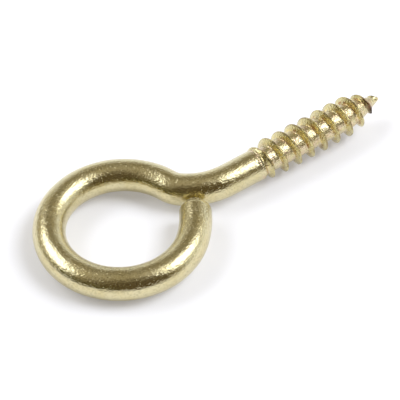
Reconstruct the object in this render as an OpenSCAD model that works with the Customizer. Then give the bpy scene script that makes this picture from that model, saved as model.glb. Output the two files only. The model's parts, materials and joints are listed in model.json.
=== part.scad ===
// Screw eye: one length of round wire with a wood-screw thread rolled on one end
// and the other end bent into an open eye.
// The origin is the centre of the eye, +X runs along the shank towards the point
// and +Z is up as the screw eye lies flat on a table.

/* [Wire] */
// Diameter of the wire
wire_d = 3; // [2.4:0.1:3.4]

/* [Eye] */
// Diameter of the hole in the eye
eye_hole_d = 10.1; // [8:0.1:14]
// Part of a full circle that the eye sweeps, in degrees
eye_sweep = 293; // [270:1:296]

/* [Neck] */
// Straight wire between the eye and the neck
neck_run = 0.4; // [0.1:0.1:2]
// Radius of the tight bend next to the eye, at the middle of the wire
tight_bend_r = 2.2; // [2:0.1:4]
// Turn of the tight bend, in degrees
tight_bend_turn = 30; // [20:1:35]
// Radius of the wide bend that leads into the shank
wide_bend_r = 6.4; // [5:0.1:9]
// Turn of the wide bend, in degrees
wide_bend_turn = 41; // [35:1:45]
// Straight plain shank between the neck and the thread
shank_run = 2.5; // [2:0.1:20]

/* [Free end] */
// Bend radius of the last stretch, which opens out from the eye
free_end_r = 11; // [9:0.5:20]
// Turn of the last stretch, in degrees
free_end_turn = 17; // [5:1:18]
// Bevel that the shear leaves round the cut
cut_bevel = 0.55; // [0.1:0.05:0.6]

/* [Thread] */
// Diameter over the crests
crest_d = 3.82; // [3.5:0.02:4.2]
// Diameter of the core between the crests
core_d = 2.54; // [2.2:0.02:2.7]
// Advance of the thread in one turn
pitch = 1.545; // [1.3:0.005:1.8]
// Length from the plain shank to the point
thread_l = 15.5; // [12:0.05:30]
// Length over which the thread rises out of the shank
run_out_l = 2.35; // [1.5:0.05:4]
// Length over which the thread closes on the point
point_l = 4.15; // [3:0.05:5]
// Width of the narrow crest, as a part of the pitch
crest_land = 0.05; // [0.03:0.01:0.15]
// Width of the valley floor, as a part of the pitch
valley_land = 0.52; // [0.3:0.01:0.6]
// How far the point stands off the line of the shank
point_drift = 0.35; // [0:0.05:0.6]

/* [Hidden] */
$fn = 96;

wire_r = wire_d / 2;
link_lap = 0.1;
link_step = 0.02;
eye_r = eye_hole_d / 2 + wire_r;
crest_r = crest_d / 2;
core_r = core_d / 2;

// The neck's two bends turn the wire from the eye's circle into the X direction.
neck_turn = tight_bend_turn + wide_bend_turn;
eye_start = 90 - neck_turn;

// Place along X where the plain shank ends, summed up from the eye's centre.
neck_end_x = eye_r * cos(eye_start)
    + neck_run * cos(neck_turn)
    + tight_bend_r * (sin(neck_turn) - sin(wide_bend_turn))
    + wide_bend_r * sin(wide_bend_turn);
shank_end_x = neck_end_x + shank_run;

// The thread is one closed skin wound along the screw. Each turn has turn_steps
// stations, and each station carries the section of one pitch.
turn_steps = 28;
sunk_turns = 2;
first_crest = 0.54 * pitch;
skin_gap = 0.03;
core_start = 0.75;
core_fall_l = 0.9;
point_r = 0.15;
crest_power = 1.66;
core_power = 1.5;
shoulder = 0.95;
foot = 0.1;
fillet = 0.03;

// Lying on a table, the screw eye touches it with the far side of its eye and with
// the lowest place of its first full crest, which stands out further than the wire.
rest_crest_x = shank_end_x + first_crest + 1.75 * pitch;
rest_tilt = asin((crest_r - wire_r) / (eye_r + rest_crest_x));

// Section over one pitch: [part of the pitch, height between core and crest]
section = [
    [0, 1],
    [crest_land / 2, shoulder],
    [0.5 - valley_land / 2 - fillet, foot],
    [0.5 - valley_land / 2 + fillet, 0],
    [0.5 + valley_land / 2 - fillet, 0],
    [0.5 + valley_land / 2 + fillet, foot],
    [1 - crest_land / 2, shoulder]
];
section_steps = len(section);
turns = sunk_turns - 1 + (thread_l - first_crest) / pitch;
last_step = floor(turns * turn_steps);

function ease(t) = let (u = min(1, max(0, t))) u * u * (3 - 2 * u);
function mix(a, b, t) = a + (b - a) * t;

// Radius over the crests, and radius of the core, at a distance x from the shank
function to_point(x) = min(1, max(0, (x - thread_l + point_l) / point_l));
function crest_at(x) =
    let (rise = mix(wire_r - skin_gap, crest_r, ease(x / run_out_l)))
    mix(rise, point_r, pow(to_point(x), crest_power));
function core_at(x) =
    let (fall = mix(wire_r - skin_gap, core_r, ease((x - core_start) / core_fall_l)))
    mix(fall, point_r, pow(to_point(x), core_power));
function drift_at(x) = point_drift * pow(max(0, x) / thread_l, 2);

function skin_point(step, s) =
    let (
        x = first_crest + pitch * (step / turn_steps + section[s][0] - sunk_turns),
        r = mix(core_at(x), crest_at(x), section[s][1]),
        a = 360 * step / turn_steps
    )
    [x, drift_at(x) + r * cos(a), r * sin(a)];

// Number of a skin point: past the end of a section comes the next turn's start.
function point_id(step, s) =
    s < section_steps ? step * section_steps + s : (step + turn_steps) * section_steps;

// The loop of points round each end of the skin, and the fan that closes it
function start_loop() = concat(
    [for (step = [0:turn_steps]) point_id(step, 0)],
    [for (s = [section_steps - 1:-1:1]) point_id(0, s)]
);
function end_loop() = concat(
    [for (s = [0:section_steps - 1]) point_id(last_step, s)],
    [for (step = [last_step - 1:-1:last_step - turn_steps]) point_id(step, section_steps - 1)]
);
function fan(loop, hub) =
    [for (i = [0:len(loop) - 1]) [hub, loop[i], loop[(i + 1) % len(loop)]]];

module thread() {
    skin = [
        for (step = [0:last_step], s = [0:section_steps - 1]) skin_point(step, s)
    ];
    start_hub = len(skin);
    end_hub = start_hub + 1;
    hubs = [
        [first_crest - pitch * (sunk_turns - 0.5), 0, 0],
        [thread_l, point_drift, 0]
    ];
    quads = [
        for (step = [0:last_step - 1], s = [0:section_steps - 1])
        if (s < section_steps - 1 || step < last_step - turn_steps)
            [point_id(step, s), point_id(step, s + 1),
             point_id(step + 1, s + 1), point_id(step + 1, s)]
    ];
    sides = [
        for (q = quads, half = [0, 1])
        half == 0 ? [q[0], q[1], q[2]] : [q[0], q[2], q[3]]
    ];
    polyhedron(
        points = concat(skin, hubs),
        faces = concat(sides, fan(start_loop(), start_hub), fan(end_loop(), end_hub))
    );
}

// Straight wire along +X, with what follows at its end
module run(length) {
    rotate([0, 90, 0]) cylinder(h = length, r = wire_r);
    translate([length, 0, 0]) children();
}

// Wire bent to the left, with what follows at its end. A link is a bend that is a
// hair thinner than its neighbours and laps into them, which joins them cleanly.
module bend(radius, turn, link = false) {
    lap = link ? link_lap / radius * 180 / PI : 0;
    translate([0, radius, 0])
    rotate_extrude(angle = turn + 2 * lap, start = -90 - lap)
    translate([radius, 0])
    circle(r = link ? wire_r - link_step : wire_r);
    translate([0, radius, 0])
    rotate([0, 0, turn])
    translate([0, -radius, 0])
    children();
}

// Sheared end of the wire, bevelled all round by the cutter
module cut_end() {
    rim_r = wire_r - 2 * link_step;
    rotate([0, 90, 0])
    rotate_extrude()
    polygon([
        [0, -link_lap], [rim_r, -link_lap], [rim_r, link_lap],
        [rim_r - cut_bevel * 0.8, link_lap + cut_bevel], [0, link_lap + cut_bevel]
    ]);
}

module eye() {
    rotate_extrude(angle = eye_sweep) translate([eye_r, 0]) circle(r = wire_r);
}

// From the start of the eye's circle out through the neck to the point
module neck_and_shank() {
    translate([eye_r, 0, 0])
    rotate([0, 0, -90])
    run(neck_run)
    bend(tight_bend_r, tight_bend_turn)
    bend(wide_bend_r, wide_bend_turn, link = true)
    run(shank_run)
    thread();
}

module free_end() {
    rotate([0, 0, eye_sweep])
    translate([eye_r, 0, 0])
    rotate([0, 0, 90])
    bend(free_end_r, free_end_turn, link = true)
    cut_end();
}

module screw_eye() {
    color("darkkhaki")
    rotate([0, -rest_tilt, 0])
    rotate([0, 0, eye_start]) {
        eye();
        neck_and_shank();
        free_end();
    }
}

screw_eye();
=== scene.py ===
# %% [markdown]
# # A brass-plated screw eye, lying on a white table
#
# The real thing is one length of steel wire. A machine rolls a wood thread on one end,
# bends the other end round a pin into an eye, shears it off beside the neck, and a
# barrel of them is then plated with bright brass. This lesson takes the same steps in
# an order of its own: a ring of points is drawn along the shank, bent through the neck
# and the eye and cut off, its other end is rolled into a thread, and the finish comes
# last.

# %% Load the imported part
import json
import math

import bmesh
import bpy
import numpy as np
from mathutils import Matrix, Vector, noise
from mathutils.kdtree import KDTree


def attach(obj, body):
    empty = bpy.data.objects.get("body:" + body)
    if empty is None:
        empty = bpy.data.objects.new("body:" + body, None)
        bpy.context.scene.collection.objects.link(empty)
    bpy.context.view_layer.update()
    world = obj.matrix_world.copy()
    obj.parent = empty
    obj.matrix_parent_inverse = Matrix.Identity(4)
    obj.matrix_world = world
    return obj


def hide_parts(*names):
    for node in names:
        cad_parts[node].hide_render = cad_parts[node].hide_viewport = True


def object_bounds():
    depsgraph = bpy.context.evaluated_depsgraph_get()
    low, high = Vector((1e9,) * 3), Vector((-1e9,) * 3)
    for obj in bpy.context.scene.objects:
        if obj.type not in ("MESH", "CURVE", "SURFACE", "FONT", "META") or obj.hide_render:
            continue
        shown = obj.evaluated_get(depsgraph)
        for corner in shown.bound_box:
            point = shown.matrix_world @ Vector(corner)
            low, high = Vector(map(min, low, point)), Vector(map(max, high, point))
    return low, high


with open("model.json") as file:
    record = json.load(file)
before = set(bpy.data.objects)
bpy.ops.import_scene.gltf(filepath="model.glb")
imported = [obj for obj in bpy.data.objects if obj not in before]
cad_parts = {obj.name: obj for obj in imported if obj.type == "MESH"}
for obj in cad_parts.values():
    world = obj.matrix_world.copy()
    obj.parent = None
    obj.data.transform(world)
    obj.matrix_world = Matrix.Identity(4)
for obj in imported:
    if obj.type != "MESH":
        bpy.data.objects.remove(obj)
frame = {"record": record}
cad_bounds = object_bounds()
scene = bpy.context.scene
mounts = {m["name"]: m for m in frame["record"]["mounts"]}
print("the part measures", [round(1000 * (b - a), 1) for a, b in zip(*cad_bounds)], "mm")

# %% [markdown]
# ## Camera
#
# A long lens keeps a part this small nearly free of perspective. The camera looks
# down on the table from the side of the eye, so the thread runs away from it to the
# upper right. A Track To constraint could aim it. Here its turn is worked out once,
# from the line between two points, so it is a plain object with nothing live on it.

# %% Camera
CAMERA_AT = Vector((-0.05484, -0.09062, 0.11717))
CAMERA_AIM = Vector((0.00767, -0.00133, 0.00013))
CAMERA_LENS = 157.65
SENSOR_WIDTH = 36.0
CLIP_NEAR, CLIP_FAR = 0.01, 20


def add_camera():
    data = bpy.data.cameras.new("view_camera")
    data.lens = CAMERA_LENS
    data.sensor_width = SENSOR_WIDTH
    data.clip_start = CLIP_NEAR
    data.clip_end = CLIP_FAR
    camera = bpy.data.objects.new("view_camera", data)
    scene.collection.objects.link(camera)
    camera.location = CAMERA_AT
    camera.rotation_euler = (CAMERA_AIM - CAMERA_AT).to_track_quat("-Z", "Y").to_euler()
    return camera


scene.camera = add_camera()
print("the camera is", round(1000 * (CAMERA_AIM - CAMERA_AT).length), "mm from the part")

# %% [markdown]
# ## The room
#
# Bright metal has hardly any colour of its own: what is seen is the room around it.
# Two large softboxes light it, one to the right and one behind on the left, and a
# white sweep stands low behind the table. The rest of the room is dim, and darkest
# on the camera's side.
#
# Area lamps could stand in for the softboxes, but they show hard edges in a
# reflection. So the whole room is painted on the world's sphere instead: each surface
# is a mask made from azimuth and elevation, with edges as soft as wanted. That also
# lets the metal see a softbox that is dimmer than the light it throws on the table,
# as if through a filter, so the plating's grain still shows inside a highlight.
#
# First come a few small helpers, with which the room and the brass are both built.

# %% Node helpers
def new_node(tree, kind, inputs=(), **settings):
    """Adds a node. An input is either a plain value or another node's output."""
    node = tree.nodes.new(kind)
    for name, value in settings.items():
        setattr(node, name, value)
    for name, value in dict(inputs).items():
        if isinstance(value, bpy.types.NodeSocket):
            tree.links.new(value, node.inputs[name])
        else:
            node.inputs[name].default_value = value
    return node


def maths(tree, operation, *values):
    inputs = dict(enumerate(values))
    return new_node(tree, "ShaderNodeMath", inputs, operation=operation).outputs[0]


def smooth_step(tree, value, start, end, low=0.0, high=1.0):
    """Goes smoothly from low to high as value goes from start to end."""
    inputs = {"Value": value, "From Min": start, "From Max": end, "To Min": low, "To Max": high}
    kind = "ShaderNodeMapRange"
    return new_node(tree, kind, inputs, interpolation_type="SMOOTHSTEP").outputs["Result"]


def mix_colour(tree, share, first, second):
    inputs = {0: share, 6: first, 7: second}
    return new_node(tree, "ShaderNodeMix", inputs, data_type="RGBA").outputs[2]


print("node helpers: new_node, maths, smooth_step, mix_colour")

# %% What stands in the room
ROOM = (0.43, 0.385, 0.285, 1)
DARK_SIDE = (0.12, 0.092, 0.05, 1)
DARK_TOWARDS = (-112, 25)
DARK_EDGE = (0.4, 0.9)
DAYLIGHT = (0.97, 1.0, 1.06)
LAMPLIGHT = (1.1, 0.95, 0.4)
WALL = (1.1, 0.97, 0.7)
PANELS = {
    # azimuth, elevation, half width, half height and soft edge in degrees, slant,
    # light thrown on the table, light seen in the metal, tint
    "white sweep": (22, 2, 66, 20, 12, 0.0, 2.6, 0.95, DAYLIGHT),
    "dim wall": (-172, 8, 44, 20, 14, 0.0, 0.1, 0.1, LAMPLIGHT),
    "dim corner": (58, 50, 24, 18, 14, 0.0, 0.25, 0.25, WALL),
    "right softbox": (-28, 50, 27, 15, 8, 0.0, 8.0, 3.9, DAYLIGHT),
    "rear softbox": (127, 43.5, 31, 11, 8, -0.12, 5.4, 3.6, DAYLIGHT),
}
print("the room has", ", ".join(PANELS))


# %% Masks on the world's sphere
def direction_of(azimuth, elevation):
    a, e = math.radians(azimuth), math.radians(elevation)
    return (math.cos(a) * math.cos(e), math.sin(a) * math.cos(e), math.sin(e))


def dark_share(tree, direction):
    """1 towards the dark side of the room and 0 away from it."""
    inputs = {0: direction, 1: direction_of(*DARK_TOWARDS)}
    kind = "ShaderNodeVectorMath"
    towards = new_node(tree, kind, inputs, operation="DOT_PRODUCT").outputs["Value"]
    return smooth_step(tree, towards, *DARK_EDGE)


def panel_mask(tree, azimuth, elevation, place):
    """1 on a panel and 0 off it, with soft edges."""
    box_az, box_el, half_w, half_h, edge, slant = place
    w, h, s = (math.radians(v) for v in (half_w, half_h, edge))
    turn = maths(tree, "SUBTRACT", azimuth, math.radians(box_az))
    turn = maths(tree, "WRAP", turn, math.pi, -math.pi)
    rise = maths(tree, "SUBTRACT", elevation, math.radians(box_el))
    rise = maths(tree, "MULTIPLY_ADD", turn, -slant, rise)
    across = smooth_step(tree, maths(tree, "ABSOLUTE", turn), w + s, w - s)
    tall = smooth_step(tree, maths(tree, "ABSOLUTE", rise), h + s, h - s)
    return maths(tree, "MULTIPLY", across, tall)


print("the room is darkest towards", [round(v, 2) for v in direction_of(*DARK_TOWARDS)])


# %% Paint the world
def tinted(tint, brightness):
    return [brightness * part for part in tint] + [1]


def add_world():
    world = bpy.data.worlds.new("light_tent")
    world.use_nodes = True
    tree = world.node_tree
    tree.nodes.clear()
    direction = new_node(tree, "ShaderNodeTexCoord").outputs["Generated"]
    x, y, z = new_node(tree, "ShaderNodeSeparateXYZ", {0: direction}).outputs
    azimuth = maths(tree, "ARCTAN2", y, x)
    elevation = maths(tree, "ARCSINE", z)
    in_metal = new_node(tree, "ShaderNodeLightPath").outputs["Is Glossy Ray"]
    colour = mix_colour(tree, dark_share(tree, direction), ROOM, DARK_SIDE)
    for *place, thrown, seen, tint in PANELS.values():
        light = mix_colour(tree, in_metal, tinted(tint, thrown), tinted(tint, seen))
        mask = panel_mask(tree, azimuth, elevation, place)
        colour = mix_colour(tree, mask, colour, light)
    background = new_node(tree, "ShaderNodeBackground", {"Color": colour})
    new_node(tree, "ShaderNodeOutputWorld", {"Surface": background.outputs[0]})
    return world


scene.world = add_world()
scene.view_settings.view_transform = "Standard"
print("the world is painted with", len(scene.world.node_tree.nodes), "nodes")

# %% [markdown]
# ## Table
#
# A sheet of white acrylic that glows a little, as if lit from below, so the shadow
# under the wire stays pale. A lamp under a glass sheet would do the same, but with
# noise, so the glow is a little emission in the sheet's own material. The sheet is
# large enough that no view from the side sees its edge. It touches the part where
# the part rests: under the far side of the eye and under the first full turn of the
# thread.

# %% Table
TABLE_SIZE = 3.0
ACRYLIC = (0.70, 0.70, 0.72, 1)
ACRYLIC_ROUGHNESS = 0.75
ACRYLIC_SHINE = 0.15
GLOW, GLOW_TINT = 0.22, (0.98, 0.98, 1.03, 1)


def add_table(height):
    bpy.ops.mesh.primitive_plane_add(size=TABLE_SIZE, location=(0, 0, height))
    table = bpy.context.object
    table.name = "table"
    material = bpy.data.materials.new("white_acrylic")
    material.use_nodes = True
    shader = material.node_tree.nodes["Principled BSDF"]
    shader.inputs["Base Color"].default_value = ACRYLIC
    shader.inputs["Emission Color"].default_value = GLOW_TINT
    shader.inputs["Emission Strength"].default_value = GLOW
    shader.inputs["Roughness"].default_value = ACRYLIC_ROUGHNESS
    shader.inputs["Specular IOR Level"].default_value = ACRYLIC_SHINE
    table.data.materials.append(material)
    return table


table = add_table(cad_bounds[0][2])
print("the table is at", round(1000 * table.location.z, 3), "mm")

# %% [markdown]
# ## The wire
#
# The wire is round, 3 mm thick, and runs in one piece from the cut end to the point.
# A curve with a bevel would give the same tube, but not its ends or its thread. So it
# is modelled much as it is made: extruding and spinning a ring is what drawing and
# bending do to a wire, and it keeps one clean row of faces from end to end.
#
# Blender's tools merge points that are closer than about a tenth of a millimetre if
# they work in metres, so the wire is modelled large, with one unit for one
# millimetre, and shrunk at the end. It is also modelled level, and then tilted to
# the angle at which it rests. The record's thread mount gives that angle, and the
# place where the plain shank ends.

# %% Sizes of the wire, in millimetres
MM = 0.001
WIRE_R = 1.5
EYE_R = 6.55
EYE_SWEEP = 293
NECK_RUN = 0.4
TIGHT_BEND_R, TIGHT_BEND_TURN = 2.2, 30
WIDE_BEND_R, WIDE_BEND_TURN = 6.4, 41
NECK_TURN = TIGHT_BEND_TURN + WIDE_BEND_TURN
SHANK_RUN = 2.5
FREE_END_R, FREE_END_TURN = 11, 17
RING_POINTS = 128
RING_GAP = 0.17

shank_axis = Vector(mounts["thread"]["axis"])
rest_tilt = math.asin(shank_axis.z)
level = Matrix.Rotation(rest_tilt, 4, "Y")
shank_end = level @ (Vector(mounts["thread"]["pos_m"]) / MM)
centre_line = [shank_end.copy()]
print("the plain shank ends at", [round(v, 2) for v in shank_end], "mm")


# %% Helpers for selecting and measuring
def only(obj):
    """Makes obj the one selected and active object."""
    bpy.ops.object.select_all(action="DESELECT")
    obj.select_set(True)
    bpy.context.view_layer.objects.active = obj


def ring_centre():
    """The middle of the points selected in edit mode."""
    mesh = bmesh.from_edit_mesh(bpy.context.object.data)
    points = [v.co.copy() for v in mesh.verts if v.select]
    return sum(points, Vector()) / len(points)


def in_plane(degrees):
    """A direction in the level plane, by its angle from +X."""
    return Vector((math.cos(math.radians(degrees)), math.sin(math.radians(degrees)), 0))


print("the neck leaves the eye towards", [round(v, 2) for v in in_plane(-NECK_TURN)])


# %% Helpers for drawing and bending
def draw_on(direction, length):
    """Draws the selected ring on in a straight line, in steps."""
    steps = max(1, round(length / RING_GAP))
    step = Vector(direction).normalized() * length / steps
    for _ in range(steps):
        bpy.ops.mesh.extrude_region_move(TRANSFORM_OT_translate={"value": step})
        centre_line.append(centre_line[-1] + step)


def bend_on(centre, radius, turn):
    """Bends the wire on from the selected ring, anticlockwise round a centre in the level plane.
    Spin counts its angle clockwise, so it is given the turn with its sign changed."""
    steps = max(2, round(math.radians(abs(turn)) * radius / RING_GAP))
    bpy.ops.mesh.spin(
        steps=steps, angle=-math.radians(turn), center=centre, axis=(0, 0, 1), use_auto_merge=False
    )
    hub = Vector(centre)
    for _ in range(steps):
        arm = Matrix.Rotation(math.radians(turn) / steps, 3, "Z") @ (centre_line[-1] - hub)
        centre_line.append(hub + arm)


print("the rings of the wire stand about", RING_GAP, "mm apart")

# %% Draw the shank
bpy.ops.mesh.primitive_circle_add(
    vertices=RING_POINTS, radius=WIRE_R, fill_type="NOTHING", location=shank_end,
    rotation=(0, math.pi / 2, 0),
)
wire = bpy.context.object
wire.name = "plated_wire"
only(wire)
bpy.ops.object.transform_apply(location=True, rotation=True, scale=True)
bpy.ops.object.mode_set(mode="EDIT")
bpy.ops.mesh.select_all(action="SELECT")
draw_on((-1, 0, 0), SHANK_RUN)
print("the shank meets the neck at", [round(v, 2) for v in ring_centre()])

# %% Bend the neck and the eye
wide_centre = ring_centre() + in_plane(90) * WIDE_BEND_R
bend_on(wide_centre, WIDE_BEND_R, -WIDE_BEND_TURN)
tight_centre = ring_centre() + in_plane(90 - WIDE_BEND_TURN) * TIGHT_BEND_R
bend_on(tight_centre, TIGHT_BEND_R, -TIGHT_BEND_TURN)
draw_on(in_plane(180 - NECK_TURN), NECK_RUN)
print("the neck meets the eye at", [round(v, 2) for v in ring_centre()])
bend_on((0, 0, 0), EYE_R, EYE_SWEEP)
free_centre = ring_centre().normalized() * (EYE_R - FREE_END_R)
bend_on(free_centre, FREE_END_R, FREE_END_TURN)
print("the free end stops at", [round(v, 2) for v in ring_centre()])

# %% [markdown]
# ## The cut end
#
# The shear rounds the rim over as it bites and leaves a flat face with a low lip.
# A bevel of the last edge would round it with one even curve. Here each row of the
# rim is one short extrusion and one scaling of the ring, so the rim has a curve of
# its own and the face sinks a little inside the lip. The last row is merged to a
# point, which closes the end.

# %% Shear the free end
CUT_HEADING = 90 - NECK_TURN + 90 + EYE_SWEEP + FREE_END_TURN
CUT_ROWS = [
    # advance past the last ring, radius as a part of the wire's
    (0.12, 0.995), (0.25, 0.975), (0.37, 0.94), (0.47, 0.89), (0.55, 0.83), (0.61, 0.76),
    (0.645, 0.68), (0.66, 0.6), (0.655, 0.55), (0.645, 0.4), (0.65, 0.2),
]


def close_end(heading, rows):
    """Adds the rows of an end to the selected ring and closes its middle."""
    centre = ring_centre()
    advance, share = 0.0, 1.0
    for row_advance, row_share in rows:
        step = heading * (row_advance - advance)
        bpy.ops.mesh.extrude_region_move(TRANSFORM_OT_translate={"value": step})
        size = row_share / share
        bpy.ops.transform.resize(
            value=(size, size, size), center_override=centre + heading * row_advance
        )
        advance, share = row_advance, row_share
    bpy.ops.mesh.merge(type="CENTER")


close_end(in_plane(CUT_HEADING), CUT_ROWS)
print("cut end closed, heading", CUT_HEADING % 360, "degrees")

# %% [markdown]
# ## The blank for the thread
#
# The dies roll the thread into plain wire, so the shank's last ring is first drawn on
# to the point as a plain blank. It could be extruded ring by ring, as the shank was.
# But a thread needs hundreds of rows, so the blank is drawn in one long step and then
# cut into rows by one edge-ring subdivision, which is much quicker.

# %% Draw the blank
THREAD_L = 15.5
THREAD_ROWS = 400
TIP_STEP = 0.06
PLACE_SLACK = 1e-4
LENGTH_SLACK = 1e-3

bpy.ops.mesh.select_all(action="DESELECT")
bm = bmesh.from_edit_mesh(wire.data)
for v in bm.verts:
    v.select = abs(v.co.x - shank_end.x) < PLACE_SLACK
bm.select_flush(True)
blank_l = THREAD_L - TIP_STEP
bpy.ops.mesh.extrude_region_move(TRANSFORM_OT_translate={"value": (blank_l, 0, 0)})
bpy.ops.mesh.extrude_region_move(TRANSFORM_OT_translate={"value": (TIP_STEP, 0, 0)})
bpy.ops.mesh.merge(type="CENTER")
print("the blank is", blank_l, "mm long, with", TIP_STEP, "mm more to its point")

# %% Cut the blank into rows
bpy.ops.mesh.select_all(action="DESELECT")
bm = bmesh.from_edit_mesh(wire.data)
for e in bm.edges:
    e.select = abs(e.calc_length() - blank_l) < LENGTH_SLACK
bpy.ops.mesh.subdivide_edgering(
    number_cuts=THREAD_ROWS, interpolation="LINEAR", smoothness=0, profile_shape_factor=0
)
bpy.ops.object.mode_set(mode="OBJECT")
print("points with the blank for the thread:", len(wire.data.vertices))

# %% [markdown]
# ## The form of the thread
#
# Two flat dies press a broad helical valley into the wire, and the metal that they
# push away rises into a narrow crest. That is why the crest stands out further than
# the plain shank. Over the last few millimetres crest and core close on the point.
#
# A Screw modifier would turn one section round the axis, but all its turns would be
# alike, with no run-out and no taper. So the thread is written down as a rule: how
# far the crest and the core stand out at each distance from the shank, and how high
# the section is between the two.

# %% Sizes of the thread, in millimetres
PITCH = 1.545
FIRST_CREST = 0.54 * PITCH
CREST_R = 1.91
CORE_R = 1.27
RUN_OUT_L = 2.35
CORE_START, CORE_FALL_L = 0.75, 0.9
POINT_L = 4.15
POINT_R = 0.15
POINT_DRIFT = 0.35
# The narrow crest and the valley floor are parts of the pitch, and the last three
# values say how full the taper and the flank are.
CREST_LAND = 0.05
VALLEY_LAND = 0.52
CREST_POWER, CORE_POWER = 1.66, 1.5
FLANK_ROUNDING = 0.25
print("turns from the first crest to the point:", round((THREAD_L - FIRST_CREST) / PITCH, 1))


# %% How far the crest and the core stand out
def ease(t):
    t = np.clip(t, 0, 1)
    return t * t * (3 - 2 * t)


def to_point(x):
    """0 up to the taper and 1 at the point."""
    return np.clip((x - THREAD_L + POINT_L) / POINT_L, 0, 1)


def crest_radius(x):
    rise = WIRE_R + (CREST_R - WIRE_R) * ease(x / RUN_OUT_L)
    return rise + (POINT_R - rise) * to_point(x) ** CREST_POWER


def core_radius(x):
    fall = WIRE_R + (CORE_R - WIRE_R) * ease((x - CORE_START) / CORE_FALL_L)
    return fall + (POINT_R - fall) * to_point(x) ** CORE_POWER


mid_taper = THREAD_L - POINT_L / 2
print("half way down the taper the crest is", round(float(crest_radius(mid_taper)), 2), "mm out")


# %% Where a place is in the thread
def phase_at(x, angle):
    """How many pitches a place is from the first crest: a whole number on a crest."""
    return (x - FIRST_CREST) / PITCH - angle / (2 * np.pi)


def turns_at(phase, angle):
    """Turns of the thread from its first crest to the crest nearest to a place."""
    return np.round(phase) + angle / (2 * np.pi)


def thread_height(phase):
    """0 on the valley floor and 1 on the crest, with a nearly straight flank between them."""
    off_crest = np.abs((phase + 0.5) % 1.0 - 0.5)
    flank = (off_crest - CREST_LAND / 2) / (0.5 - VALLEY_LAND / 2 - CREST_LAND / 2)
    straight = 1 - np.clip(flank, 0, 1)
    return (1 - FLANK_ROUNDING) * straight + FLANK_ROUNDING * ease(straight)


print("an eighth of a pitch off the crest the height is", round(float(thread_height(0.125)), 2))

# %% [markdown]
# ## Marks that rolling leaves
#
# A rolled crest is never quite even. It wavers where the metal didn't fill the dies,
# it is nicked from tumbling in the barrel, and towards the point it is chipped. Where
# the dies first bite they raise a low ridge round the shank. These could be sculpted,
# but a few waves and a short list of nicks, counted in turns along the thread, say
# where each mark is, and one number moves it.

# %% Wear of the crest, and the ridge at the first bite
LIP_AT, LIP_W, LIP_H = 0.85, 0.075, 0.06
WAVES = [
    # height in millimetres, angle of the wave for each turn of the thread, its start
    (0.014, 9.1, 1), (0.010, 23.7, 2), (0.006, 61.3, 0),
]
NICK_W = 0.05
NICKS = [
    # turns of the thread from its first crest, depth in millimetres
    (0.62, 0.05), (1.31, 0.07), (2.38, 0.09), (3.45, 0.05), (4.34, 0.08), (5.42, 0.06),
    (6.36, 0.10), (7.40, 0.05), (8.30, 0.12), (8.44, 0.16), (8.53, 0.12),
]


def lip(x):
    """A low ridge round the shank where the dies first bite."""
    return LIP_H * np.exp(-(((x - LIP_AT) / LIP_W) ** 2))


def crest_wear(turns):
    """How far the crest stands below its full height, by the turns from its start."""
    wear = sum(height * (1 + np.sin(rate * turns + start)) for height, rate, start in WAVES)
    for at, depth in NICKS:
        wear = wear + depth * np.exp(-(((turns - at) / NICK_W) ** 2))
    return wear


lowest = max(float(crest_wear(at)) for at, depth in NICKS)
print("at its deepest nick the crest is", round(lowest, 2), "mm low")

# %% [markdown]
# ## Rolling
#
# Each point of the blank is now pressed in or out to the height that the rule gives
# for its distance from the shank and its angle round the wire. A Displace modifier
# with an image of the thread could do that, but it would blur a crest this narrow.
# The rows first crowd together towards the crest, so that its edge stays crisp, and
# the wire drifts off its line towards the point.

# %% Crowd the rows, and work out their height
CROWDING = 0.55


def crowded(x, phase):
    """How far a row slides towards its crest, in pitches. The rows at both ends stay."""
    ends = ease(x / PITCH) * ease((THREAD_L - x) / PITCH)
    return -CROWDING * ends * np.sin(2 * np.pi * phase) / (2 * np.pi)


def rolled_radius(x, angle, phase):
    core, crest = core_radius(x), crest_radius(x)
    height = thread_height(phase)
    full_height = np.clip((crest - core) / (CREST_R - CORE_R), 0, 1)
    wear = crest_wear(turns_at(phase, angle)) * full_height
    return core + (crest - core - wear) * height + lip(x) * (1 - height)


slide_l = CROWDING * PITCH / (2 * np.pi)
print("rows slide by up to", round(slide_l, 2), "mm towards a crest")

# %% Roll the thread
START_SLACK = 1e-6


def points_of(mesh):
    co = np.zeros(3 * len(mesh.vertices))
    mesh.vertices.foreach_get("co", co)
    return co.reshape(-1, 3)


def roll_thread(obj):
    co = points_of(obj.data)
    x = co[:, 0] - shank_end.x
    y = co[:, 1] - shank_end.y
    z = co[:, 2]
    in_thread = x > START_SLACK
    angle = np.arctan2(z, y)
    phase = phase_at(x, angle)
    slide = crowded(x, phase)
    x, phase = x + PITCH * slide, phase + slide
    radius = rolled_radius(x, angle, phase) * np.hypot(y, z) / WIRE_R
    drift = POINT_DRIFT * (np.clip(x, 0, None) / THREAD_L) ** 2
    across = shank_end.y + drift + radius * np.cos(angle)
    rolled = np.stack([shank_end.x + x, across, radius * np.sin(angle)], 1)
    co[in_thread] = rolled[in_thread]
    obj.data.vertices.foreach_set("co", co.ravel())
    obj.data.update()
    return int(in_thread.sum())


print("points pressed into the thread:", roll_thread(wire))

# %% [markdown]
# ## A place on the wire
#
# Scratches and draw lines run along a wire, round its bends too, so a pattern on
# plain XYZ would cut across them. A UV map would follow the wire, but with a seam.
# Instead each point gets a place on the wire as it was before bending: how far along
# it is, and where it is round the middle. The finish reads that place as if the wire
# were still straight, and no seam shows.
#
# In the bends the place is taken from the nearest stretch of the centre line, which
# is nearly always the right one. Where the neck faces the cut end across the gap, a
# few dozen points are nearer to the cut end's line than to their own and take its
# place. They cover about one square millimetre inside the gap, and are left so.

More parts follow.
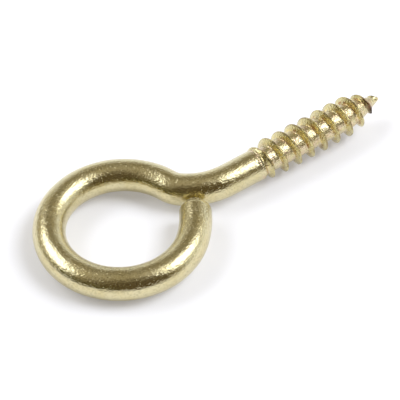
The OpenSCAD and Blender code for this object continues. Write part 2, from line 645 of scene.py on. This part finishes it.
# %% Find each point's place on the straight wire
def straight_places(obj):
    tree = KDTree(len(centre_line))
    for i, point in enumerate(centre_line):
        tree.insert(point, i)
    tree.balance()
    steps = [(b - a).length for a, b in zip(centre_line, centre_line[1:])]
    along = np.concatenate([[0], np.cumsum(steps)])
    places = np.zeros((len(obj.data.vertices), 3))
    for v in obj.data.vertices:
        x = v.co.x - shank_end.x
        if x > 0:
            places[v.index] = (-x, v.co.y - shank_end.y, v.co.z)
            continue
        i = tree.find(v.co)[1]
        j = min(i, len(centre_line) - 2)
        tangent = (centre_line[j + 1] - centre_line[j]).normalized()
        arm = v.co - centre_line[i]
        side = tangent.cross((0, 0, 1))
        places[v.index] = (along[i] + arm.dot(tangent), arm.dot(side), arm.z)
    return places


places = straight_places(wire)
print("places run from", round(places[:, 0].min(), 1), "to", round(places[:, 0].max(), 1), "mm")

# %% [markdown]
# ## Notes for the finish
#
# The thread is plated and worn differently from the plain wire, and its valleys
# differently from its crests, and some of its colours are painted glints, reflection
# and shade. Painted vertex colours could mark them by hand. Here the rule that made
# the thread also marks it, as attributes that the material reads.
# "crest" is 0 in a valley and 1 on a crest, and "thread" grows from the shank to the
# point. Two more notes mark a stretch of crest near the point that is coloured dark
# brown, and a near-black patch beside it, and "worked" marks the metal that was
# strained most, in the neck and beside the shear.

# %% Note the place, the crest and the thread
FINISH_START, FINISH_RISE_L = 0.3, 0.5
THREAD_NOTE_FROM = 0.05


def note(obj, name, values):
    """Keeps one number or one vector for each point of the mesh."""
    kind = "FLOAT_VECTOR" if values.ndim == 2 else "FLOAT"
    layer = obj.data.attributes.new(name, kind, "POINT")
    layer.data.foreach_set("vector" if values.ndim == 2 else "value", values.ravel())


note(wire, "place", places * MM)
from_shank = -places[:, 0]
angle = np.arctan2(places[:, 2], places[:, 1])
phase = phase_at(from_shank, angle)
in_thread = ease((from_shank - FINISH_START) / FINISH_RISE_L)
down_thread = np.clip(from_shank / THREAD_L, 0, 1)
note(wire, "crest", in_thread * thread_height(phase))
note(wire, "thread", in_thread * (THREAD_NOTE_FROM + (1 - THREAD_NOTE_FROM) * down_thread))
print("points noted as thread:", int((in_thread > 0).sum()))

# %% Note the dark brown crest
BROWN_AT, BROWN_W = 8.47, 0.24
BLACK_AT, BLACK_W = 8.57, 0.18

turns = turns_at(phase, angle)
on_crest = in_thread * thread_height(phase) ** 0.5
brown_crest = on_crest * np.exp(-((turns - BROWN_AT) / BROWN_W) ** 4)
note(wire, "brown_crest", brown_crest)
note(wire, "black_patch", on_crest ** 0.5 * np.exp(-((turns - BLACK_AT) / BLACK_W) ** 4))
print("points that are half darkened or more:", int((brown_crest > 0.5).sum()))

# %% Note the metal that was worked most
STRAINED_AT, STRAINED_W = 6.0, 4.0
SHEARED_L = 7.0

wire_l = sum((b - a).length for a, b in zip(centre_line, centre_line[1:]))
strained = np.exp(-((places[:, 0] - STRAINED_AT) / STRAINED_W) ** 2)
sheared = ease((places[:, 0] - wire_l + SHEARED_L) / SHEARED_L)
note(wire, "worked", strained + sheared)
print("the wire is", round(wire_l, 1), "mm long before its thread")

# %% [markdown]
# ## A little uneven
#
# Drawn and bent wire swells and sinks by about a hundredth of a millimetre. That is
# too little to see in the outline, but it makes a highlight waver, where a perfect
# tube would show a ruled line. Bump could fake it, and a Displace modifier would need
# a texture, so each point is moved along its normal by a soft noise of its place on
# the wire. The normals are read once, before any point moves.

# %% Leave the wire a little uneven
SWELL_SIZE, SWELL_H = 1.6, 0.012
RIPPLE_SIZE, RIPPLE_H = 0.55, 0.0035
RIPPLE_SHIFT = Vector((7, 3, 5))


def unevenness(place):
    swell = noise.noise(place / SWELL_SIZE)
    ripple = noise.noise(place / RIPPLE_SIZE + RIPPLE_SHIFT)
    return SWELL_H * swell + RIPPLE_H * ripple


normals = np.zeros(3 * len(places))
wire.data.vertices.foreach_get("normal", normals)
raised = np.array([unevenness(Vector(place)) for place in places])
co = points_of(wire.data) + normals.reshape(-1, 3) * raised[:, None]
wire.data.vertices.foreach_set("co", co.ravel())
print("the wire swells and sinks by up to", round(float(np.abs(raised).max()), 3), "mm")

# %% [markdown]
# ## At rest and at its real size
#
# The real one comes to lie on the far side of its eye and on the first full crest of
# its thread. The wire is tilted to match and shrunk to metres. The tilt and the scale
# could stay on the object, but patterns and exports expect it unturned and unscaled,
# so they go into the mesh. Spinning can leave faces inside out, so the faces are
# turned outward first. A closed mesh has two faces at every edge, and the last cell
# of the wire counts the edges that don't.

# %% Turn the faces outward, lay the wire at rest and shrink it to metres
DOUBLES_GAP = 1e-5


def finish_mesh(obj):
    only(obj)
    bpy.ops.object.mode_set(mode="EDIT")
    bpy.ops.mesh.select_all(action="SELECT")
    bpy.ops.mesh.remove_doubles(threshold=DOUBLES_GAP)
    bpy.ops.mesh.normals_make_consistent(inside=False)
    bpy.ops.object.mode_set(mode="OBJECT")
    obj.data.transform(Matrix.Rotation(-rest_tilt, 4, "Y"))
    obj.data.transform(Matrix.Scale(MM, 4))
    bpy.ops.object.shade_smooth()


finish_mesh(wire)
print("the wire has", len(wire.data.polygons), "faces")

# %% Measure the finished mesh
check = bmesh.new()
check.from_mesh(wire.data)
open_edges = sum(1 for e in check.edges if len(e.link_faces) != 2)
volume = check.calc_volume(signed=True) / MM ** 3
check.free()
print("open edges:", open_edges, "volume:", round(volume, 1), "mm3")

# %% [markdown]
# ## Brass plating
#
# Barrel plating leaves bright metal that is still a little rough. Its look has three
# sources, and each has its own cells below: a relief too fine to model, a colour that
# changes over the wire and down the thread, and a gloss that varies. An image could
# hold all this, but noise stays sharp at any distance and follows the wire by the
# place that was noted on it. The sizes of its lumps are in millimetres.

# %% Helpers for patterns
def attribute(tree, name, output="Fac"):
    return new_node(tree, "ShaderNodeAttribute", attribute_name=name).outputs[output]


def drawn_out(tree, place, squeeze):
    """Squeezes a place along the wire, which draws the lumps of a noise out along it."""
    inputs = {0: place, 1: (squeeze, 1, 1)}
    return new_node(tree, "ShaderNodeVectorMath", inputs, operation="MULTIPLY").outputs[0]


def grain(tree, place, size, detail=2.0, roughness=0.5):
    """Noise of 0 to 1 with lumps of the given size in millimetres."""
    inputs = {"Vector": place, "Scale": 1 / (size * MM), "Detail": detail, "Roughness": roughness}
    return new_node(tree, "ShaderNodeTexNoise", inputs).outputs[0]


def into_thread(tree, thread, plain=0.0, threaded=1.0):
    """Goes from its value on the plain wire to its value in the thread."""
    return smooth_step(tree, thread, 0.0, THREAD_NOTE_FROM, plain, threaded)


print("pattern helpers: attribute, drawn_out, grain, into_thread")

# %% [markdown]
# ## Relief of the plating
#
# Close up, the plating has the fine orange peel of a thick bright coat, with faint
# lines along the wire that the drawing die left under it, a finer tooth, and small
# pits. The peel is what breaks the edge of each reflection into specks. It is coarser
# where the metal was worked hardest: in the neck, beside the shear and in the thread.
# The points of the mesh are too far apart to hold it, so it is a bump in the
# material, in hundredths of a millimetre.

# %% Relief of the plating
BUMP_UNIT = 1e-5
PEEL_SIZE, PEEL_SQUEEZE, PEEL_DETAIL = 0.21, 0.75, 0.0
LINE_SIZE, LINE_SQUEEZE, LINE_H = 0.12, 0.08, 0.9
TOOTH_SIZE, TOOTH_SQUEEZE, TOOTH_DETAIL, TOOTH_ROUGHNESS = 0.16, 0.7, 2.5, 0.65
PIT_SIZE, PIT_DETAIL, PIT_LEVELS, PIT_H = 0.2, 0.5, (0.66, 0.74), -0.28
COARSE_PLAIN, COARSE_THREAD, COARSE_WORKED = 1.0, 2.5, 0.7
FINE_PLAIN, FINE_THREAD = 3.0, 4.5


def coarse_relief(tree, place, thread, worked):
    """The peel and the draw lines, in hundredths of a millimetre."""
    peel = grain(tree, drawn_out(tree, place, PEEL_SQUEEZE), PEEL_SIZE, PEEL_DETAIL)
    lines = grain(tree, drawn_out(tree, place, LINE_SQUEEZE), LINE_SIZE)
    relief = maths(tree, "MULTIPLY_ADD", lines, LINE_H, peel)
    height = into_thread(tree, thread, COARSE_PLAIN, COARSE_THREAD)
    height = maths(tree, "MULTIPLY_ADD", worked, COARSE_WORKED, height)
    return maths(tree, "MULTIPLY", relief, height)


def fine_relief(tree, place, thread):
    """The tooth and the pits, in hundredths of a millimetre."""
    tooth_place = drawn_out(tree, place, TOOTH_SQUEEZE)
    tooth = grain(tree, tooth_place, TOOTH_SIZE, TOOTH_DETAIL, TOOTH_ROUGHNESS)
    pits = smooth_step(tree, grain(tree, place, PIT_SIZE, PIT_DETAIL), *PIT_LEVELS)
    relief = maths(tree, "MULTIPLY_ADD", pits, PIT_H, tooth)
    return maths(tree, "MULTIPLY", relief, into_thread(tree, thread, FINE_PLAIN, FINE_THREAD))


print("the peel has lumps of about", PEEL_SIZE, "mm")

# %% [markdown]
# ## Colours of the plating
#
# The bath doesn't leave one colour. All over, the brass is clouded with a deeper tone
# and peppered with dark specks. In the thread the valleys are rosy. The flanks are
# tinted yellower, a painted reflection of the yellow that light bounced off the
# valleys gives them, and their feet carry painted glints of gilt, with brown stains
# that grow stronger towards the point. The crests have a broken dark line, painted
# shade and dark reflection along their sharp edges, and one crest near the point is
# dark brown, with a near-black patch.
#
# Layers painted by hand would fit only one mesh. Here each tone is laid over the ones
# before it through a patchy noise and a mask made from the notes, and the table below
# holds the patches of each.

# %% Colours and their patches
BRASS = (0.72, 0.65, 0.40, 1)
DEEP_BRASS = (0.62, 0.52, 0.24, 1)
DARK_SPECK = (0.36, 0.30, 0.17, 1)
ROSE = (0.76, 0.60, 0.44, 1)
# painted reflection: a yellower tint on the flanks, for light bounced off the valleys
PAINTED_BOUNCE_YELLOW = (0.75, 0.66, 0.31, 1)
# painted glints: saturated yellow at the foot of a flank, for light bounced between flank and
# valley
PAINTED_GLINT_GOLD = (0.95, 0.72, 0.20, 1)
STAIN = (0.36, 0.17, 0.07, 1)
# painted shade and dark reflection along the crests' sharp edges; also darkens the point
CREST_SHADE_AND_POINT_DARK = (0.22, 0.15, 0.07, 1)
CREST_BROWN = (0.22, 0.10, 0.045, 1)
NEAR_BLACK = (0.05, 0.035, 0.025, 1)
PATCHES = {
    # size, detail, noise level where a patch starts, noise level where it is full
    "cloud": (1.8, 3.0, 0.4, 0.7),
    "speck": (0.14, 1.5, 0.48, 0.7),
    "rose": (0.45, 2.0, 0.42, 0.62),
    "painted bounce": (0.6, 3.0, 0.38, 0.62),
    "painted_glint": (0.4, 3.0, 0.45, 0.6),
    "stain": (0.7, 4.0, 0.46, 0.66),
    "crest shade": (0.8, 3.0, 0.42, 0.6),
    "brown_crest": (0.35, 3.0, 0.35, 0.5),
    "dull": (0.7, 3.0, 0.3, 0.75),
}


def patches(tree, place, name, low=0.0, high=1.0):
    """Goes from low between the patches to high on them."""
    size, detail, start, full = PATCHES[name]
    return smooth_step(tree, grain(tree, place, size, detail), start, full, low, high)


print("the finish has patches of", ", ".join(PATCHES))

# %% Colour all over the wire
CLOUD_SHARE = 0.35
SPECKS_PLAIN, SPECKS_THREAD = 0.42, 0.6


def plated_colour(tree, place, thread):
    cloud = patches(tree, place, "cloud", high=CLOUD_SHARE)
    colour = mix_colour(tree, cloud, BRASS, DEEP_BRASS)
    depth = into_thread(tree, thread, SPECKS_PLAIN, SPECKS_THREAD)
    return mix_colour(tree, patches(tree, place, "speck", high=depth), colour, DARK_SPECK)


print("specks darken the plain wire by up to", SPECKS_PLAIN)

# %% Colour of the valleys, and the painted reflection on the flanks
VALLEY_TOP, FLANK_START = 0.3, 0.02
ROSE_SHARE = 0.6
PAINTED_BOUNCE_SHARES = (0.1, 0.75)


def valley_colour(tree, colour, place, crest, thread):
    valley = smooth_step(tree, crest, VALLEY_TOP, 0.0)
    valley = maths(tree, "MULTIPLY", into_thread(tree, thread), valley)
    rosy = maths(tree, "MULTIPLY", patches(tree, place, "rose", high=ROSE_SHARE), valley)
    return mix_colour(tree, rosy, colour, ROSE)


def flank_bounce_colour(tree, colour, place, crest, thread):
    # A painted reflection: the flanks are tinted yellower, as light bounced off the valleys makes
    # them look.
    flank = smooth_step(tree, crest, FLANK_START, VALLEY_TOP)
    flank = maths(tree, "MULTIPLY", into_thread(tree, thread), flank)
    flank = maths(tree, "MULTIPLY", flank, patches(tree, place, "painted bounce", *PAINTED_BOUNCE_SHARES))
    return mix_colour(tree, flank, colour, PAINTED_BOUNCE_YELLOW)


print("valleys are rosy up to", VALLEY_TOP, "of the height of the thread")

# %% Painted glints and stains at the foot of a flank
FOOT_AT, FOOT_EDGES = 0.25, (0.35, 0.05)
FOOT_RISE, FOOT_SHARES = (0.05, 0.5), (0.25, 0.85)
PAINTED_GLINT_SHARE = 0.55


def flank_foot(tree, crest, thread):
    """Strong at the foot of a flank, and stronger down the thread."""
    off_foot = maths(tree, "ABSOLUTE", maths(tree, "SUBTRACT", crest, FOOT_AT))
    down_thread = smooth_step(tree, thread, *FOOT_RISE, *FOOT_SHARES)
    return maths(tree, "MULTIPLY", smooth_step(tree, off_foot, *FOOT_EDGES), down_thread)


def foot_colour(tree, colour, place, crest, thread):
    foot = flank_foot(tree, crest, thread)
    # Painted glints: patches of saturated yellow at the foot of each flank.
    painted_glint = maths(tree, "MULTIPLY", patches(tree, place, "painted_glint", high=PAINTED_GLINT_SHARE), foot)
    colour = mix_colour(tree, painted_glint, colour, PAINTED_GLINT_GOLD)
    stained = maths(tree, "MULTIPLY", foot, patches(tree, place, "stain"))
    stained = maths(tree, "MULTIPLY", stained, into_thread(tree, thread))
    return mix_colour(tree, stained, colour, STAIN)


print("stains cover up to", FOOT_SHARES[1], "of the foot of a flank")

# %% The painted shade line on the crests, the dark point and the dark brown crest
CREST_SHADE_LEVELS, CREST_SHADE_SHARE = (0.78, 0.96), 0.7
POINT_LEVELS = (0.95, 0.975)


def crest_shade_colour(tree, colour, place, crest):
    # A painted line of shade and dark reflection along each crest's sharp edge, broken in patches.
    edge = smooth_step(tree, crest, *CREST_SHADE_LEVELS)
    broken = patches(tree, place, "crest shade", high=CREST_SHADE_SHARE)
    return mix_colour(tree, maths(tree, "MULTIPLY", edge, broken), colour, CREST_SHADE_AND_POINT_DARK)


def point_colour(tree, colour, place, thread):
    point = smooth_step(tree, thread, *POINT_LEVELS)
    point = maths(tree, "MULTIPLY", point, patches(tree, place, "stain"))
    return mix_colour(tree, point, colour, CREST_SHADE_AND_POINT_DARK)


def dark_crest_colour(tree, colour, browned):
    colour = mix_colour(tree, browned, colour, CREST_BROWN)
    return mix_colour(tree, attribute(tree, "black_patch"), colour, NEAR_BLACK)


print("the dark line lies above", CREST_SHADE_LEVELS[0], "of the height of the crest")

# %% [markdown]
# ## The finished brass
#
# The shader is a full metal, so its base colour is what it reflects face on, and the
# shader pales it towards the outline. Its gloss varies in patches. It is a little
# brighter in the thread, where the dies burnished it, and dull on the dark brown crest
# near the point.

# %% Gloss of the plating
ROUGHNESS = (0.12, 0.22)
BURNISHED = -0.02
BROWN_DULL = 0.25


def brass_roughness(tree, place, thread, browned):
    roughness = patches(tree, place, "dull", *ROUGHNESS)
    roughness = maths(tree, "ADD", roughness, into_thread(tree, thread, 0.0, BURNISHED))
    return maths(tree, "MULTIPLY_ADD", browned, BROWN_DULL, roughness)


print("the roughness of the plain wire runs from", ROUGHNESS[0], "to", ROUGHNESS[1])


# %% Plate the wire
def brass_colour(tree, place, thread, browned):
    crest = attribute(tree, "crest")
    colour = plated_colour(tree, place, thread)
    colour = valley_colour(tree, colour, place, crest, thread)
    colour = flank_bounce_colour(tree, colour, place, crest, thread)
    colour = foot_colour(tree, colour, place, crest, thread)
    colour = crest_shade_colour(tree, colour, place, crest)
    colour = point_colour(tree, colour, place, thread)
    return dark_crest_colour(tree, colour, browned)


def brass_height(tree, place, thread):
    coarse = coarse_relief(tree, place, thread, attribute(tree, "worked"))
    return maths(tree, "ADD", coarse, fine_relief(tree, place, thread))


def brass_material():
    material = bpy.data.materials.new("brass_plating")
    material.use_nodes = True
    tree = material.node_tree
    shader = tree.nodes["Principled BSDF"]
    place = attribute(tree, "place", "Vector")
    thread = attribute(tree, "thread")
    browned = maths(tree, "MULTIPLY", attribute(tree, "brown_crest"), patches(tree, place, "brown_crest"))
    colour = brass_colour(tree, place, thread, browned)
    tree.links.new(colour, shader.inputs["Base Color"])
    shader.inputs["Metallic"].default_value = 1.0
    roughness = brass_roughness(tree, place, thread, browned)
    tree.links.new(roughness, shader.inputs["Roughness"])
    height = brass_height(tree, place, thread)
    bump = new_node(tree, "ShaderNodeBump", {"Height": height, "Distance": BUMP_UNIT})
    tree.links.new(bump.outputs[0], shader.inputs["Normal"])
    return material


wire.data.materials.append(brass_material())
print("the brass is made of", len(wire.data.materials[0].node_tree.nodes), "nodes")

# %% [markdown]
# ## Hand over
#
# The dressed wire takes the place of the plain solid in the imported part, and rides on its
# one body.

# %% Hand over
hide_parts("screw_eye")
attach(wire, "root")
